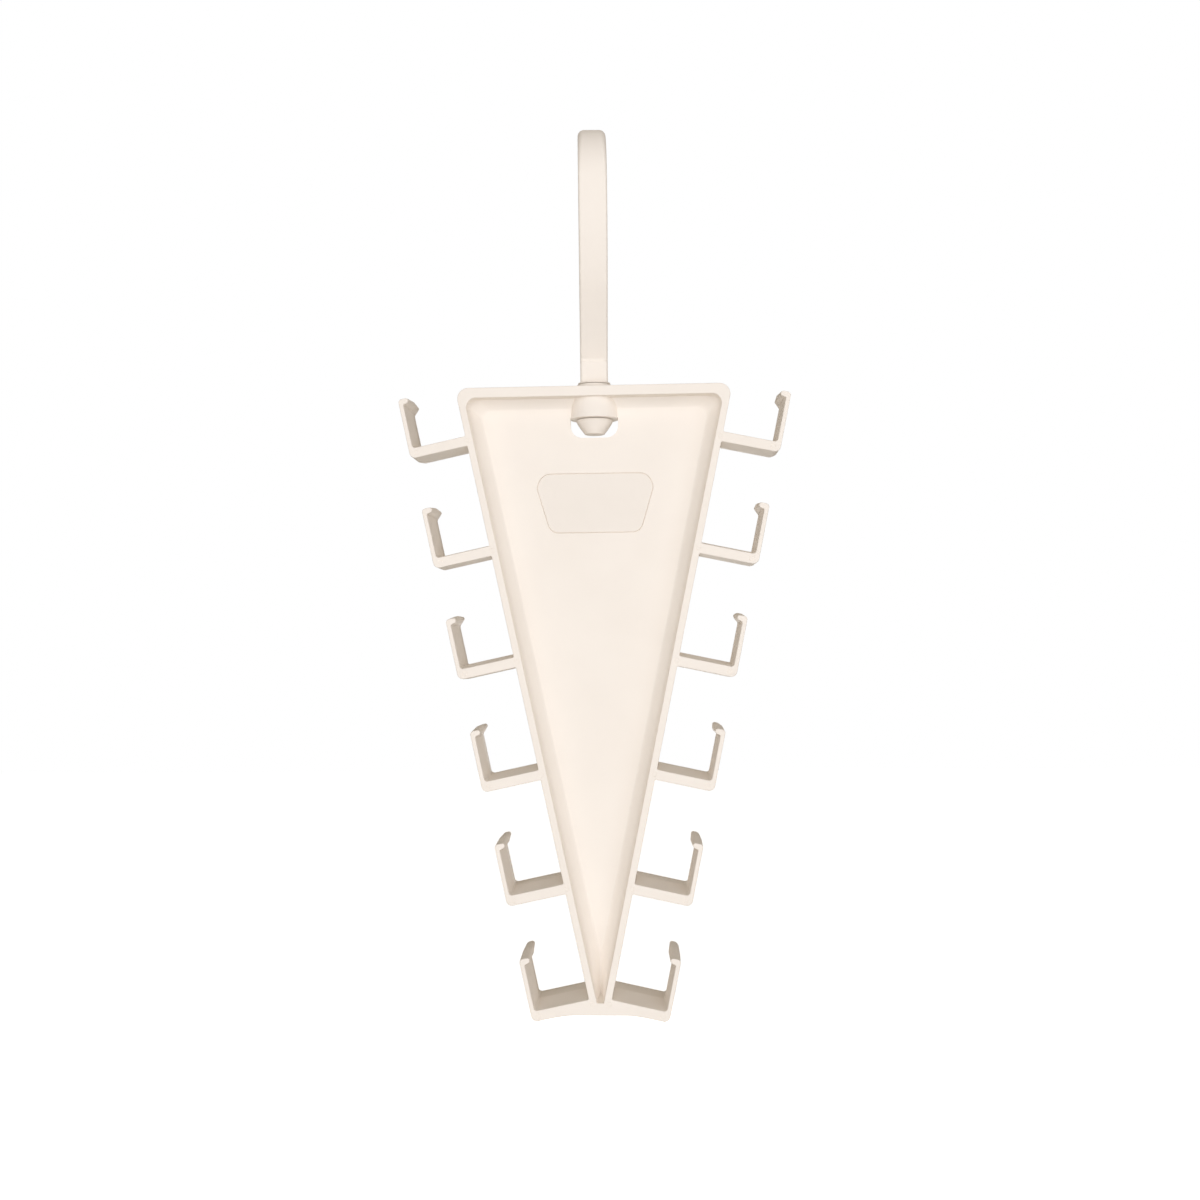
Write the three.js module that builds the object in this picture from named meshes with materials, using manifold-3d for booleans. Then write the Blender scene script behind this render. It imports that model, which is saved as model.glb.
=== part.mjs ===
// Multi-hook hanger for straps, ties and belts: a dished tapering body with barbed hooks down both sides,
// hung from a rod hook that swivels in a boss under the body's top rail.
// Millimetres, +Z up, the front faces -Y. The origin is where the hanging rod bears under the hook's crown.

import * as THREE from 'three';
import { mergeVertices } from 'three/addons/utils/BufferGeometryUtils.js';
import Module from 'manifold-3d';

// Body: the rim, its lean and its thicknesses
const SIDE_LEAN_DEG = 12;
const RAIL_BAND = 2.6;
const TOP_BAND = 3.8;
const RIM_CORNER_RADIUS = 4;
const TRAY_CORNER_RADIUS = 3.5;
const CORNER_RUN = 0.4;
const APEX_FLAT = 2.5;
const APEX_BELOW_ARM = 1.2;
const FOOT_DROP = 1.9;
const FOOT_BLEND_IN = 3.6;
const FOOT_BLEND_OUT = 7;

// Side hooks: how many, where, and the section that runs through the whole depth
const HOOK_ROWS = 6;
const HOOK_PITCH = 42;
const FIRST_HOOK_DROP = 18.5;
const ARM_REACH = 20.2;
const ARM_THICK = 3.7;
const UPRIGHT_THICK = 1.6;
const UPRIGHT_RISE = 19;
const BARB_REACH = 2.2;
const BARB_NOSE = 1.3;
const BARB_NOSE_SWEEP_DEG = 135;
const BARB_DROP = 3;
const HOOK_CORNER_RADIUS = 2.2;
const HOOK_INNER_RADIUS = 1.2;
const HOOK_TIP_RADIUS = 1.8;
const ROOT_FILLET = 0.6;

// Tray: the dished panel inside the rim, with its lip in the rim's band and its depth in front and behind
const TRAY_LIP = 0.8;
const TRAY_DEPTH = 7;
const PANEL_THICK = 2;
const BACK_DEPTH = 11;
const SIDE_COVE = 4.4;
const TOP_COVE = 3.9;
const BACK_COVE = 3;
const WALL_SHARE = 0.5;
const WALL_DRAFT = 0.2;
const COVE_LEAD = 0.85;
const SLOPE_SHARE = 0.6;
const VALLEY_HALF = 0.6;
const FOOT_SLOPE = 0.3;

// Swivel: boss, shaft and snap head on one vertical axis
const SHAFT_RADIUS = 4;
const BOSS_WALL = 5;
const BOSS_DROP = 11.4;
const PAD_WALL = 2.5;
const PAD_RISE = 1.7;
const COLLAR_LAP = 1.9;
const COLLAR_THICK = 0.5;
const HEAD_LAP = 2.6;
const HEAD_TAPER = 2.8;
const HEAD_LIP = 0.8;
const HEAD_CONE = 4.6;
const WINDOW_SIDE_ROOM = 0.25;
const WINDOW_FOOT_ROOM = 1.5;
const WINDOW_RADIUS = 4.5;

// Rod hook: a ribbon that leans forward out of the neck, swells upright and goes over in a round crown
const BOW_WIDTH = 10.4;
const BOW_THICK = 5.5;
const STEM_EDGE_RADIUS = 1;
const CROWN_EDGE_RADIUS = 2.4;
const CROWN_RADIUS = 27.2;
const FLANK_RADIUS = 70;
const BOW_LEAN_DEG = 32;
const BOW_TIP_SWEEP_DEG = 18;
const TIP_EDGE_LEAST = 0.2;
const NECK_THICK = 6;
const NECK_HEIGHT = 8.1;
const NECK_BEND_RADIUS = 5;
const HOOK_TURN_DEG = 3.3;

// Clearances: between sections of one moulding, and in the swivel
const SEAM = 0.3;
const BORE_CLEARANCE = 0.2;
const RUNNING_GAP = 0.3;

// Largest round as a share of the wall that it is cut from
const ROUND_SHARE = 0.45;

// Facets
const ARC_STEPS = 3;
const ROUND_STEPS = 48;
const COVE_STEPS = 5;
const BOW_STEPS = 64;
const RIBBON_ARC_STEPS = 2;
const TIP_STEPS = 5;

const IVORY = 0xf9f1e6;

// Places that follow from the driving dimensions, measured from the rim's top line on the swivel axis
const lean = THREE.MathUtils.degToRad(SIDE_LEAN_DEG);
const sideSlope = Math.tan(lean);
const sideSpread = 1 / Math.cos(lean);
const bodyDepth = TRAY_DEPTH + PANEL_THICK + BACK_DEPTH;
const lastHookDrop = FIRST_HOOK_DROP + (HOOK_ROWS - 1) * HOOK_PITCH;
const lastRootZ = -lastHookDrop * Math.cos(lean);
const apexZ = lastRootZ - APEX_BELOW_ARM;
const trayFootZ = apexZ - TRAY_LIP;
const footTopZ = trayFootZ - SEAM;
const footZ = lastRootZ - ARM_THICK - FOOT_DROP;
const topHalfWidth = APEX_FLAT / 2 + RAIL_BAND * sideSpread - apexZ * sideSlope;
const railWall = RAIL_BAND - TRAY_LIP - SEAM;
const topWall = TOP_BAND - TRAY_LIP - SEAM;
const lipRadius = TRAY_CORNER_RADIUS + TRAY_LIP;
const railInnerRadius = lipRadius + SEAM;
const padZ = PAD_RISE;
const collarZ = padZ + RUNNING_GAP;
const neckZ = collarZ + COLLAR_THICK;
const bossZ = -BOSS_DROP;
const headZ = bossZ - RUNNING_GAP;
const headTipZ = headZ - HEAD_LIP - HEAD_CONE;
const boreRadius = SHAFT_RADIUS + BORE_CLEARANCE;
const bossRadius = boreRadius + BOSS_WALL;
const headRadius = boreRadius + HEAD_LAP;
const floorY = TRAY_DEPTH - bodyDepth / 2;
const bossHalfAtFloor = Math.sqrt(Math.max(bossRadius ** 2 - floorY ** 2, 0));

const manifold = await Module();
manifold.setup();

// Half of the outline's width at a height, a given distance inside the rim's outer edge
function halfWidth(z, inset) {
  return topHalfWidth + z * sideSlope - inset * sideSpread;
}

// A round, no larger than its wall has room for
function limited(radius, wall) {
  return Math.min(radius, ROUND_SHARE * wall);
}

// A closed geometry as a solid for joining and cutting, and back again
function toSolid(geometry) {
  const bare = geometry.clone();
  bare.deleteAttribute('normal');
  bare.deleteAttribute('uv');
  const merged = mergeVertices(bare);
  return new manifold.Manifold(new manifold.Mesh({
    numProp: 3,
    vertProperties: new Float32Array(merged.attributes.position.array),
    triVerts: new Uint32Array(merged.index.array),
  }));
}

function toGeometry(solid) {
  const mesh = solid.getMesh();
  const geometry = new THREE.BufferGeometry();
  geometry.setAttribute('position', new THREE.BufferAttribute(mesh.vertProperties, 3));
  geometry.setIndex(new THREE.BufferAttribute(mesh.triVerts, 1));
  return geometry;
}

// A shape drawn as x and z, run through a depth along y
function plate(shape, depth) {
  const geometry = new THREE.ExtrudeGeometry(shape, { depth, bevelEnabled: false, curveSegments: ARC_STEPS });
  geometry.translate(0, 0, -depth / 2);
  geometry.rotateX(Math.PI / 2);
  return geometry;
}

// A profile of radius and z turned about the swivel axis
function turned(profile) {
  const points = profile.map(([radius, z]) => new THREE.Vector2(radius, z));
  const geometry = new THREE.LatheGeometry(points, ROUND_STEPS);
  geometry.rotateX(Math.PI / 2);
  return geometry;
}

function cylinder(radius, lowZ, highZ) {
  return turned([[0, lowZ], [radius, lowZ], [radius, highZ], [0, highZ]]);
}

function piece(name, geometry) {
  const material = new THREE.MeshStandardMaterial({ color: IVORY, roughness: 0.5, metalness: 0 });
  const mesh = new THREE.Mesh(geometry, material);
  mesh.name = name;
  return mesh;
}

// Centre of the round at a top corner that lies an inset inside the sides and the top
function cornerCentre(sideInset, topInset, radius) {
  const z = -topInset - radius;
  return { x: halfWidth(z, sideInset + radius), z };
}

// How far down the outer edge such a round ends
function roundEndDrop(sideInset, topInset, radius) {
  const endZ = -topInset - radius * (1 + Math.sin(lean));
  return (sideInset * Math.sin(lean) - endZ) * sideSpread;
}

// Where the top rail's corners hand over to the side rails, measured down the outer edge
const outerRoundDrop = roundEndDrop(0, 0, RIM_CORNER_RADIUS);
const innerRoundDrop = roundEndDrop(railWall, topWall, railInnerRadius);
const cornerDrop = Math.max(outerRoundDrop, innerRoundDrop) + CORNER_RUN;

// Top rail: a bar with rounded corners that turn down into the sides, the pad and the swivel's bore
function topRail() {
  const outer = cornerCentre(0, 0, RIM_CORNER_RADIUS);
  const inner = cornerCentre(railWall, topWall, railInnerRadius);
  const endOut = { x: topHalfWidth - cornerDrop * Math.sin(lean), z: -cornerDrop * Math.cos(lean) };
  const endIn = { x: endOut.x - railWall * Math.cos(lean), z: endOut.z + railWall * Math.sin(lean) };
  const shape = new THREE.Shape();
  shape.moveTo(endIn.x, endIn.z);
  shape.lineTo(endOut.x, endOut.z);
  shape.absarc(outer.x, outer.z, RIM_CORNER_RADIUS, -lean, Math.PI / 2, false);
  shape.absarc(-outer.x, outer.z, RIM_CORNER_RADIUS, Math.PI / 2, Math.PI + lean, false);
  shape.lineTo(-endOut.x, endOut.z);
  shape.lineTo(-endIn.x, endIn.z);
  shape.absarc(-inner.x, inner.z, railInnerRadius, Math.PI + lean, Math.PI / 2, true);
  shape.absarc(inner.x, inner.z, railInnerRadius, Math.PI / 2, -lean, true);
  const bar = toSolid(plate(shape, bodyDepth));
  const pad = toSolid(cylinder(boreRadius + PAD_WALL, -topWall / 2, padZ));
  const bore = toSolid(cylinder(boreRadius, -2 * TOP_BAND, 2 * padZ));
  return piece('top_rail', toGeometry(bar.add(pad).subtract(bore)));
}

// Side rail in its side's own frame: x outwards, z back up the outer edge; the foot end is cut level
function sideRail(side) {
  const endDrop = (inset) => (inset * Math.sin(lean) - trayFootZ) / Math.cos(lean);
  const shape = new THREE.Shape();
  shape.moveTo(0, -cornerDrop - SEAM);
  shape.lineTo(-side.sign * railWall, -cornerDrop - SEAM);
  shape.lineTo(-side.sign * railWall, -endDrop(railWall));
  shape.lineTo(0, -endDrop(0));
  shape.closePath();
  return piece(`${side.name}_rail`, plate(shape, bodyDepth));
}

// Underside of a hook's arm at its root: a fillet to the rail, or on the last row a blend into the level foot
function drawArmRoot(shape, row) {
  if (row < HOOK_ROWS) {
    shape.moveTo(SEAM, -ARM_THICK - ROOT_FILLET);
    shape.absarc(SEAM + ROOT_FILLET, -ARM_THICK - ROOT_FILLET, ROOT_FILLET, Math.PI, Math.PI / 2, true);
    return;
  }
  const footLevel = (out) => (footZ - lastRootZ) * sideSpread + out * sideSlope;
  const meet = (-ARM_THICK - footLevel(0)) / sideSlope;
  const flatEnd = meet - FOOT_BLEND_IN;
  const armEnd = ARM_REACH + UPRIGHT_THICK - HOOK_CORNER_RADIUS;
  shape.moveTo(SEAM, footLevel(SEAM));
  shape.lineTo(flatEnd, footLevel(flatEnd));
  shape.quadraticCurveTo(meet, -ARM_THICK, Math.min(meet + FOOT_BLEND_OUT, armEnd), -ARM_THICK);
}

// Hook section in its side's frame: an arm square to the rail, an upright and a wedge of a barb that points back in
function hookShape(row) {
  const inFace = ARM_REACH;
  const outFace = ARM_REACH + UPRIGHT_THICK;
  const corner = HOOK_CORNER_RADIUS;
  const tip = HOOK_TIP_RADIUS;
  const nose = BARB_NOSE / 2;
  const noseEnd = Math.PI / 2 + THREE.MathUtils.degToRad(BARB_NOSE_SWEEP_DEG);
  const inner = HOOK_INNER_RADIUS;
  const shape = new THREE.Shape();
  drawArmRoot(shape, row);
  shape.absarc(outFace - corner, -ARM_THICK + corner, corner, -Math.PI / 2, 0, false);
  shape.absarc(outFace - tip, UPRIGHT_RISE - tip, tip, 0, Math.PI / 2, false);
  shape.absarc(inFace - BARB_REACH + nose, UPRIGHT_RISE - nose, nose, Math.PI / 2, noseEnd, false);
  shape.lineTo(inFace, UPRIGHT_RISE - BARB_DROP);
  shape.absarc(inFace - inner, inner, inner, 0, -Math.PI / 2, true);
  shape.absarc(SEAM + ROOT_FILLET, ROOT_FILLET, ROOT_FILLET, 1.5 * Math.PI, Math.PI, true);
  return shape;
}

function mirrored(shape) {
  const points = shape.getPoints(ARC_STEPS).map((point) => new THREE.Vector2(-point.x, point.y));
  return new THREE.Shape(points);
}

function sideHook(side, row) {
  const shape = side.sign > 0 ? hookShape(row) : mirrored(hookShape(row));
  const hook = piece(`${side.name}_hook_${row}`, plate(shape, bodyDepth));
  hook.position.z = -FIRST_HOOK_DROP - (row - 1) * HOOK_PITCH;
  return hook;
}

// One side of the body: its rail and hooks, leaning in from the rim's top corner
function bodySide(side) {
  const group = new THREE.Group();
  group.position.x = side.sign * topHalfWidth;
  group.rotation.y = side.sign * lean;
  group.add(sideRail(side));
  for (let row = 1; row <= HOOK_ROWS; row += 1) {
    group.add(sideHook(side, row));
  }
  return group;
}

// Foot: the level bridge that ties both rails and the last pair of arms together
function footBridge() {
  const top = halfWidth(footTopZ, 0);
  const bottom = halfWidth(footZ, 0);
  const shape = new THREE.Shape();
  shape.moveTo(-bottom, footZ);
  shape.lineTo(bottom, footZ);
  shape.lineTo(top, footTopZ);
  shape.lineTo(-top, footTopZ);
  return piece('foot_bridge', plate(shape, bodyDepth));
}

// One ring of the tray, drawn in from the rim's sides and top: where a cove of a given width has used up the floor,
// both sides close up and meet at the foot
function trayRing(sideInset, topInset, width, radius, y) {
  const corner = cornerCentre(sideInset, topInset, radius);
  const inset = sideInset - RAIL_BAND;
  const narrowZ = ((RAIL_BAND + width) * sideSpread - topHalfWidth) / sideSlope;
  const narrowHalf = Math.max((width - inset) * sideSpread, VALLEY_HALF);
  const lowZ = apexZ + (inset > 0 ? FOOT_SLOPE * inset : inset);
  const valleyHalf = Math.max((1 - inset / width) * APEX_FLAT / 2, VALLEY_HALF);
  const lowHalf = inset > 0 ? valleyHalf : halfWidth(lowZ, sideInset);
  const outline = new THREE.Shape();
  outline.moveTo(-narrowHalf, narrowZ);
  outline.lineTo(-lowHalf, lowZ);
  outline.lineTo(lowHalf, lowZ);
  outline.lineTo(narrowHalf, narrowZ);
  outline.absarc(corner.x, corner.z, radius, -lean, Math.PI / 2, false);
  outline.absarc(-corner.x, corner.z, radius, Math.PI / 2, Math.PI + lean, false);
  return outline.getPoints(ARC_STEPS).map((point) => new THREE.Vector3(point.x, y, point.y));
}

// Section of a cove as inset and share of the depth: a steep wall, a slope, and a bend that runs out level
function coveSection(width) {
  const slopeTop = new THREE.Vector2(WALL_DRAFT, WALL_SHARE);
  const slopeFoot = new THREE.Vector2(WALL_DRAFT + COVE_LEAD * (width - WALL_DRAFT), 1);
  const bend = slopeTop.clone().lerp(slopeFoot, SLOPE_SHARE);
  const section = new THREE.Path();
  section.lineTo(slopeTop.x, slopeTop.y);
  section.lineTo(bend.x, bend.y);
  section.quadraticCurveTo(slopeFoot.x, slopeFoot.y, width, 1);
  return section.getPoints(COVE_STEPS);
}

// A lip in the rim's band, and then the cove down to the floor
function coveRings(rimY, floorY, sideCove, topCove) {
  const rings = [trayRing(railWall + SEAM, topWall + SEAM, sideCove, lipRadius, rimY)];
  for (const point of coveSection(sideCove)) {
    const topInset = TOP_BAND + (point.x / sideCove) * topCove;
    const y = rimY + (floorY - rimY) * point.y;
    rings.push(trayRing(RAIL_BAND + point.x, topInset, sideCove, TRAY_CORNER_RADIUS, y));
  }
  return rings;
}

// Skin over a row of rings with equal counts, closed by a fan on the first and on the last ring
function loft(rings) {
  const count = rings[0].length;
  const corners = rings.flat();
  const middle = (ring) => ring.reduce((sum, point) => sum.add(point), new THREE.Vector3()).divideScalar(count);
  const first = corners.push(middle(rings[0])) - 1;
  const last = corners.push(middle(rings[rings.length - 1])) - 1;
  const lastRing = (rings.length - 1) * count;
  const faces = [];
  for (let i = 0; i < count; i += 1) {
    const next = (i + 1) % count;
    faces.push(first, i, next);
    faces.push(last, lastRing + next, lastRing + i);
    for (let ring = 0; ring < lastRing; ring += count) {
      faces.push(ring + i, ring + count + i, ring + next);
      faces.push(ring + next, ring + count + i, ring + count + next);
    }
  }
  const geometry = new THREE.BufferGeometry().setFromPoints(corners);
  geometry.setIndex(faces);
  return geometry;
}

// Window under the boss, where the snap head comes through: as wide as the boss at the floor, with round corners
function windowShape() {
  const half = Math.max(bossHalfAtFloor, headRadius) + WINDOW_SIDE_ROOM;
  const lowZ = headTipZ - WINDOW_FOOT_ROOM;
  const round = limited(WINDOW_RADIUS, 2 * Math.min(half, bossZ - lowZ));
  const shape = new THREE.Shape();
  shape.moveTo(half, bossZ + SEAM);
  shape.lineTo(-half, bossZ + SEAM);
  shape.absarc(-half + round, lowZ + round, round, Math.PI, 1.5 * Math.PI, false);
  shape.absarc(half - round, lowZ + round, round, 1.5 * Math.PI, 2 * Math.PI, false);
  return shape;
}

// Tray: front and back coves that run down to one flat panel, cut clear of the boss and open at the window
function trayPanel() {
  const half = bodyDepth / 2;
  const front = coveRings(-half, floorY, SIDE_COVE, TOP_COVE);
  const back = coveRings(half, half - BACK_DEPTH, BACK_COVE, BACK_COVE);
  const dish = toSolid(loft([...front.reverse(), ...back]));
  const bossRoom = toSolid(cylinder(bossRadius + SEAM, bossZ, TOP_BAND));
  const window = toSolid(plate(windowShape(), 2 * bodyDepth));
  return piece('tray_panel', toGeometry(dish.subtract(bossRoom).subtract(window)));
}

// Boss: the sleeve under the top rail that the shaft turns in
function swivelBoss() {
  const topZ = -topWall - SEAM;
  const profile = [[boreRadius, bossZ], [bossRadius, bossZ], [bossRadius, topZ], [boreRadius, topZ]];
  return piece('swivel_boss', turned([...profile, profile[0]]));
}

// Shaft with the collar that keeps the hook off the pad
function swivelShaft() {
  const collarRadius = boreRadius + COLLAR_LAP;
  return piece('swivel_shaft', turned([
    [0, bossZ],
    [SHAFT_RADIUS, bossZ],
    [SHAFT_RADIUS, collarZ],
    [collarRadius, collarZ],
    [collarRadius, neckZ],
    [0, neckZ],
  ]));
}

// Snap head: a lip under the boss that tapers to the tip pushed through at assembly
function snapHead() {
  return piece('snap_head', turned([
    [0, headTipZ],
    [headRadius - HEAD_TAPER, headTipZ],
    [headRadius, headZ - HEAD_LIP],
    [headRadius, headZ],
    [0, headZ],
  ]));
}

// Rounded oblong about its own centre
function roundedOblong(width, height, radius) {
  const round = limited(radius, Math.min(width, height));
  const right = width / 2 - round;
  const top = height / 2 - round;
  const shape = new THREE.Shape();
  shape.absarc(right, top, round, 0, Math.PI / 2, false);
  shape.absarc(-right, top, round, Math.PI / 2, Math.PI, false);
  shape.absarc(-right, -top, round, Math.PI, 1.5 * Math.PI, false);
  shape.absarc(right, -top, round, 1.5 * Math.PI, 2 * Math.PI, false);
  return shape;
}

function hookNeck() {
  const section = roundedOblong(BOW_WIDTH, NECK_THICK, STEM_EDGE_RADIUS);
  const depth = NECK_HEIGHT - 2 * SEAM;
  const geometry = new THREE.ExtrudeGeometry(section, { depth, bevelEnabled: false, curveSegments: ARC_STEPS });
  geometry.translate(0, 0, neckZ + SEAM);
  return piece('hook_neck', geometry);
}

// Middle line of the bow, drawn as distance forward and z: a bend out of the neck into a straight run that leans
// forward, a flank that comes upright, the crown, and a flank behind it that ends free
const bowEnd = CROWN_RADIUS - BOW_THICK / 2;
const bowLean = THREE.MathUtils.degToRad(BOW_LEAN_DEG);
const bendZ = neckZ + NECK_HEIGHT;
const bendAndFlank = NECK_BEND_RADIUS + FLANK_RADIUS;
const bowRun = (bowEnd - bendAndFlank * (1 - Math.cos(bowLean))) / Math.sin(bowLean);
const crownCentreZ = bendZ + bendAndFlank * Math.sin(bowLean) + bowRun * Math.cos(bowLean);
const rodSeatZ = crownCentreZ + bowEnd - BOW_THICK / 2;

function bowLine() {
  const tipTurn = Math.PI + THREE.MathUtils.degToRad(BOW_TIP_SWEEP_DEG);
  const line = new THREE.Path();
  line.absarc(NECK_BEND_RADIUS, bendZ, NECK_BEND_RADIUS, Math.PI, Math.PI - bowLean, true);
  line.absarc(bowEnd - FLANK_RADIUS, crownCentreZ, FLANK_RADIUS, -bowLean, 0, false);
  line.absarc(0, crownCentreZ, bowEnd, 0, Math.PI, false);
  line.absarc(FLANK_RADIUS - bowEnd, crownCentreZ, FLANK_RADIUS, Math.PI, tipTurn, false);
  return line;
}

// The ribbon's edges are crisp on the stem and turn round as it goes over the crown
function edgeRadius(place) {
  const over = place.x < 0 ? 1 : THREE.MathUtils.smoothstep(place.y, crownCentreZ, crownCentreZ + bowEnd);
  return THREE.MathUtils.lerp(STEM_EDGE_RADIUS, CROWN_EDGE_RADIUS, over);
}

// One ring of the ribbon: its section, drawn in by an inset, square to the bow's line
function ribbonRing(place, heading, inset) {
  const radius = Math.max(edgeRadius(place) - inset, TIP_EDGE_LEAST);
  const section = roundedOblong(BOW_WIDTH - 2 * inset, BOW_THICK - 2 * inset, radius);
  return section.getPoints(RIBBON_ARC_STEPS).map((point) => new THREE.Vector3(
    point.x,
    -(place.x + point.y * heading.y),
    place.y - point.y * heading.x,
  ));
}

// Bow: the ribbon along its line, with a free end rounded over half its thickness
function hookBow() {
  const line = bowLine();
  const rings = [];
  for (let step = 0; step <= BOW_STEPS; step += 1) {
    rings.push(ribbonRing(line.getPoint(step / BOW_STEPS), line.getTangent(step / BOW_STEPS), 0));
  }
  const end = line.getPoint(1);
  const heading = line.getTangent(1);
  for (let step = 1; step < TIP_STEPS; step += 1) {
    const turn = (step / TIP_STEPS) * Math.PI / 2;
    const place = end.clone().addScaledVector(heading, Math.sin(turn) * BOW_THICK / 2);
    rings.push(ribbonRing(place, heading, (1 - Math.cos(turn)) * BOW_THICK / 2));
  }
  return piece('hook_bow', loft(rings));
}

// The hook and its swivel pieces turn together about the axis, shown a little off square
function rodHook() {
  const group = new THREE.Group();
  group.rotation.z = THREE.MathUtils.degToRad(HOOK_TURN_DEG);
  group.add(hookBow(), hookNeck(), swivelShaft(), snapHead());
  return group;
}

const hanger = new THREE.Group();
hanger.position.z = -rodSeatZ;
hanger.add(topRail(), trayPanel(), footBridge(), swivelBoss());
for (const side of [{ name: 'left', sign: -1 }, { name: 'right', sign: 1 }]) {
  hanger.add(bodySide(side));
}
hanger.add(rodHook());

export default hanger;
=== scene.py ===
"""Looks of the multi-hook hanger: one ivory body moulding and the rod hook that swivels in it."""

import math

import bmesh
import bpy
from mathutils import Euler, Matrix, Vector


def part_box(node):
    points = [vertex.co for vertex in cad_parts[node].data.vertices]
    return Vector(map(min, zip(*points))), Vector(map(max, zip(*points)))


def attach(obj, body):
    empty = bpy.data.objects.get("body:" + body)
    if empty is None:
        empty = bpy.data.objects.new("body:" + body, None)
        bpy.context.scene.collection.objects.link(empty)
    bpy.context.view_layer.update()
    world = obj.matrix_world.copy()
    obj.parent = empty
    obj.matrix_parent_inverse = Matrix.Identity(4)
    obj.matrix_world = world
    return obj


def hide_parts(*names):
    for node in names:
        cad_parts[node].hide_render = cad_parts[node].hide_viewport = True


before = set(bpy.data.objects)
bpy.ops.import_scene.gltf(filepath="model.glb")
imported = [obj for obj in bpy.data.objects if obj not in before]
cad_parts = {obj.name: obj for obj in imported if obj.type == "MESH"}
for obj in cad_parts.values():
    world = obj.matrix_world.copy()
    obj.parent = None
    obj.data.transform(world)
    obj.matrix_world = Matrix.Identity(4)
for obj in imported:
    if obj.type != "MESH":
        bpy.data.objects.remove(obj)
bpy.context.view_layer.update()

MM = 0.001

# Rim and tray, in millimetres below the rim's top line on the swivel axis
LEAN = math.radians(12)
HALF_DEPTH = 10
RAIL_BAND = 2.6
TOP_BAND = 3.8
RIM_CORNER_RADIUS = 4
TRAY_CORNER_RADIUS = 3.5
APEX_FLAT = 2.5
APEX_BELOW_ARM = 1.2
FOOT_DROP = 1.9
FOOT_BLEND_IN = 3.6
FOOT_BLEND_OUT = 7
FLOOR_Y = -3
BACK_Y = -1
SIDE_COVE = 4.4
TOP_COVE = 3.9
BACK_COVE = 3
SIDE_WALL = 0.4
TOP_WALL = 0.63
WALL_DRAFT = 0.2
COVE_LEAD = 0.85
CHAMFER_SHARE = 0.6
VALLEY_HALF = 0.03
FOOT_SLOPE = 0.3
EDGE_ROUND = 0.35
RIM_ROUND = 0.35

# Side hooks and the draft of their mould, which parts in the middle of the depth
HOOK_ROWS = 6
HOOK_PITCH = 42
FIRST_HOOK_DROP = 18.5
ARM_REACH = 20.2
ARM_THICK = 3.7
UPRIGHT_THICK = 1.6
UPRIGHT_RISE = 19
BARB_REACH = 2.2
BARB_NOSE = 1.9
BARB_NOSE_END = 2.9
REAR_NOSE_END = 2.3
BARB_DROP = 2.2
REAR_BARB_DROP = 3.5
BARB_FILLET = 0.5
HOOK_CORNER_RADIUS = 2.2
HOOK_INNER_RADIUS = 1.2
HOOK_TIP_RADIUS = 1.3
REAR_TIP_RADIUS = 2.2
ROOT_FILLET = 0.6
PARTING_Y = 0.2
DRAFT_GROWTH = 0.85
REAR_GROWTH = -0.15
BARB_DRAFT = 0.6

# Marks of the mould's pins at each hook's root and corner, as u and v in the side's frame
PIN_PLACES = ((-0.7, -1.85), (19, -1.9))
PIN_RADIUS = 0.95
PIN_STEPS = 24
PIN_GROOVE = 0.2
PIN_DEPTH = 0.1

# Bare label place, as x and z of its right half
LABEL_TOP_Z = -31.9
LABEL_TOP_HALF = 16.4
LABEL_TOP_CORNER = (21.25, -32)
LABEL_WIDEST = (22, -37.8)
LABEL_NARROW = (18.25, -50.4)
LABEL_LOW_CORNER = (17.3, -54.5)
LABEL_LOW_HALF = 13.7
LABEL_LOW_Z = -54.5
LABEL_GROOVE = 0.36
LABEL_DEPTH = 0.42
LABEL_SHADE = 0.965

# Swivel: boss and pad on the body, collar, shaft and snap head on the hook, and the window in the tray
BORE_RADIUS = 4.2
BOSS_RADIUS = 9.2
BOSS_TOP_RADIUS = 8.7
BOSS_LOW_Z = -11.4
BOSS_ROUND = 0.15
PAD_RADIUS = 6.7
PAD_RISE = 1.7
COLLAR_RADIUS = 6.1
COLLAR_ROUND = 0.15
COLLAR_LOW_Z = 2
NECK_LOW_Z = 2.5
SHAFT_RADIUS = 4
HEAD_RADIUS = 6.8
HEAD_TOP_Z = -11.6
HEAD_EDGE = 0.1
HEAD_LIP_Z = -12.5
HEAD_TIP_Z = -17.1
HEAD_TIP_RADIUS = 4
HEAD_BULGE = 0.15
TIP_ROUND = 0.5
TIP_FLAT_INSET = 0.6
TIP_EDGE_INSET = 0.2
TIP_EDGE_RISE = 0.15
WINDOW_HALF = 8.95
WINDOW_TOP_Z = -11.1
WINDOW_LOW_Z = -18.6
WINDOW_RADIUS = 4.5

# Rod hook
BOW_WIDTH = 10.4
BOW_THICK = 5.5
STEM_EDGE_RADIUS = 1
CROWN_EDGE_RADIUS = 2.4
CROWN_RADIUS = 27.2
FLANK_RADIUS = 70
BOW_LEAN = math.radians(32)
BOW_TIP_SWEEP = math.radians(18)
NECK_THICK = 6
NECK_HEIGHT = 8.1
NECK_ROUND = 0.25
NECK_SINK = 0.2
NECK_BEND_RADIUS = 5
HOOK_TURN = math.radians(3.3)

# Finish: the two ends of the plastic's faint cloudiness, its gloss and its fine grain
IVORY_RANGE = ((0.885, 0.813, 0.73), (0.905, 0.835, 0.752))
CLOUD_STOPS = (0.3, 0.7)
CLOUD_SCALE = 45
CLOUD_DETAIL = 3
ROUGHNESS_RANGE = (0.58, 0.72)
SPECULAR_LEVEL = 0.02
GRAIN_SCALE = 2500
GRAIN_STRENGTH = 0.05
GRAIN_DEPTH = 0.0001

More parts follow.
